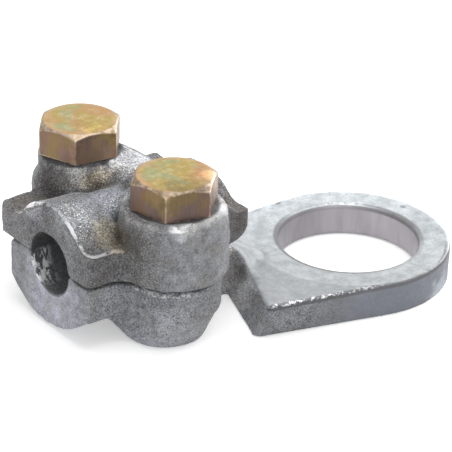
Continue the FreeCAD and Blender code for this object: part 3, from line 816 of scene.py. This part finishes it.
def threadRidge(centreX, centreY, bottom, top):
    # one closed ridge that winds up the shank
    pitch = hexBolt["pitch"] * mm
    crest = hexBolt["crestRadius"] * mm
    inside = (hexBolt["rootRadius"] - hexBolt["ridgeSink"]) * mm
    crestHalf = hexBolt["crestHalfWidth"]
    deselectAll()
    bpy.ops.mesh.primitive_plane_add(size=1.0, location=(0.0, 0.0, 0.0))
    ridge = bpy.context.active_object
    section = ((inside, -0.5), (crest, -crestHalf), (inside, 0.5), (crest, crestHalf))
    for vertex, (radius, rise) in zip(ridge.data.vertices, section):
        vertex.co = (radius, 0.0, rise * pitch)
    applyModifier(ridge, "SCREW", axis="Z", screw_offset=pitch, iterations=int((top - bottom) / pitch),
                  steps=hexBolt["ridgeSteps"], render_steps=hexBolt["ridgeSteps"], use_merge_vertices=False)
    editAll(ridge)
    weldVertices()
    bpy.ops.mesh.select_all(action="SELECT")
    bpy.ops.mesh.fill_holes(sides=0)
    bpy.ops.mesh.select_all(action="SELECT")
    bpy.ops.mesh.normals_make_consistent(inside=False)
    bpy.ops.transform.translate(value=(centreX, centreY, bottom))
    leaveEdit()
    return ridge


def makeBolt(node, body, name):
    boltPiece = copyOfNode(node, name)
    low, high = (Vector(corner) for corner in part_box(node))
    centreX, centreY = (low.x + high.x) / 2.0, (low.y + high.y) / 2.0
    neck = high.z - hexBolt["headHeight"] * mm - hexBolt["threadRunout"] * mm
    editAll(boltPiece)
    bpy.ops.mesh.bisect(plane_co=(centreX, centreY, neck), plane_no=(0.0, 0.0, 1.0))
    leaveEdit()
    selectBelow(boltPiece.data, neck + 0.01 * mm)
    bpy.ops.object.mode_set(mode="EDIT")
    bpy.ops.mesh.select_mode(type="VERT")
    shrink = hexBolt["rootRadius"] / hexBolt["shankRadius"]
    bpy.ops.transform.resize(value=(shrink, shrink, 1.0), center_override=(centreX, centreY, neck))
    leaveEdit()
    ridge = threadRidge(centreX, centreY, low.z + hexBolt["tipClear"] * mm, neck)
    makeActive(boltPiece)
    ridge.select_set(True)
    bpy.ops.object.join()
    remeshPiece(boltPiece, hexBolt["voxel"])
    smoothPiece(boltPiece, hexBolt["smoothRounds"])
    markEdges(boltPiece, hexBolt["voxel"], hexBolt["edgeSpread"])
    makeActive(boltPiece)
    bpy.ops.object.shade_smooth()
    boltPiece.data.materials.append(yellowZinc)
    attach(boltPiece, body)
    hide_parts(node)
    print(name, "faces", len(boltPiece.data.polygons))


yellowZinc = boltMaterial()
makeBolt("front_bolt", "front bolt", "front_hex_bolt")
makeBolt("rear_bolt", "rear bolt", "rear_hex_bolt")

# floor, light and camera, in metres. A lamp is its name, place, size and power.

studio = {
    "floorHeight": -0.01202, "floorSize": 3.0, "floorColor": (0.80, 0.80, 0.80), "floorRoughness": 0.9,
    "floorGlow": 0.40, "worldStrength": 0.65, "white": (1.0, 1.0, 1.0),
    "lamps": (("topSoftbox", (0.05, -0.05, 0.75), 0.5, 3.0),
              ("rightSoftbox", (0.66, 0.10, 0.32), 0.35, 3.0),
              ("frontSoftbox", (-0.20, -0.75, 0.25), 0.5, 1.0)),
    "cameraPlace": (-0.18526, -0.25705, 0.16928), "cameraTarget": (0.01458, -0.00869, 0.00081),
    "cameraRoll": 1.62, "cameraLens": 170.23, "cameraSensor": 36.0, "cameraClip": (0.01, 20.0)}


def makeFloor():
    deselectAll()
    bpy.ops.mesh.primitive_plane_add(size=studio["floorSize"], location=(0.0, 0.0, studio["floorHeight"]))
    floor = bpy.context.active_object
    floor.name = "floor"
    material, book, shader = startMaterial("paleFloor")
    book.give(shader.inputs["Base Color"], studio["floorColor"])
    book.give(shader.inputs["Roughness"], studio["floorRoughness"])
    book.give(shader.inputs["Emission Color"], studio["white"])
    book.give(shader.inputs["Emission Strength"], book.times(book.seenPlain(), studio["floorGlow"]))
    floor.data.materials.append(material)


def makeWorld():
    world = bpy.data.worlds.new("studioWorld")
    bpy.context.scene.world = world
    world.use_nodes = True
    book = NodeBook(world.node_tree)
    background = world.node_tree.nodes["Background"]
    strength = book.ramp(book.seenPlain(), 0.0, 1.0, studio["worldStrength"], 1.0)
    book.give(background.inputs["Strength"], strength)
    book.give(background.inputs["Color"], studio["white"])


def makeLamp(name, place, size, power):
    # a square softbox that looks at the origin
    light = bpy.data.lights.new(name, "AREA")
    light.shape = "SQUARE"
    light.size = size
    light.energy = power
    lamp = bpy.data.objects.new(name, light)
    bpy.context.scene.collection.objects.link(lamp)
    lamp.location = place
    lamp.rotation_euler = (-Vector(place)).to_track_quat("-Z", "Y").to_euler()


def makeCamera():
    camera = bpy.data.objects.new("camera", bpy.data.cameras.new("camera"))
    bpy.context.scene.collection.objects.link(camera)
    camera.data.lens = studio["cameraLens"]
    camera.data.sensor_width = studio["cameraSensor"]
    camera.data.clip_start, camera.data.clip_end = studio["cameraClip"]
    place = Vector(studio["cameraPlace"])
    forward = (Vector(studio["cameraTarget"]) - place).normalized()
    right = forward.cross(Vector((0.0, 0.0, 1.0))).normalized()
    up = right.cross(forward)
    roll = math.radians(studio["cameraRoll"])
    rolledRight = right * math.cos(roll) + up * math.sin(roll)
    rolledUp = up * math.cos(roll) - right * math.sin(roll)
    turn = Matrix((rolledRight, rolledUp, -forward)).transposed()
    camera.matrix_world = Matrix.Translation(place) @ turn.to_4x4()
    bpy.context.scene.camera = camera


makeFloor()
makeWorld()
for lamp in studio["lamps"]:
    makeLamp(*lamp)
makeCamera()
bpy.context.scene.view_settings.view_transform = "Standard"
print("studio done")
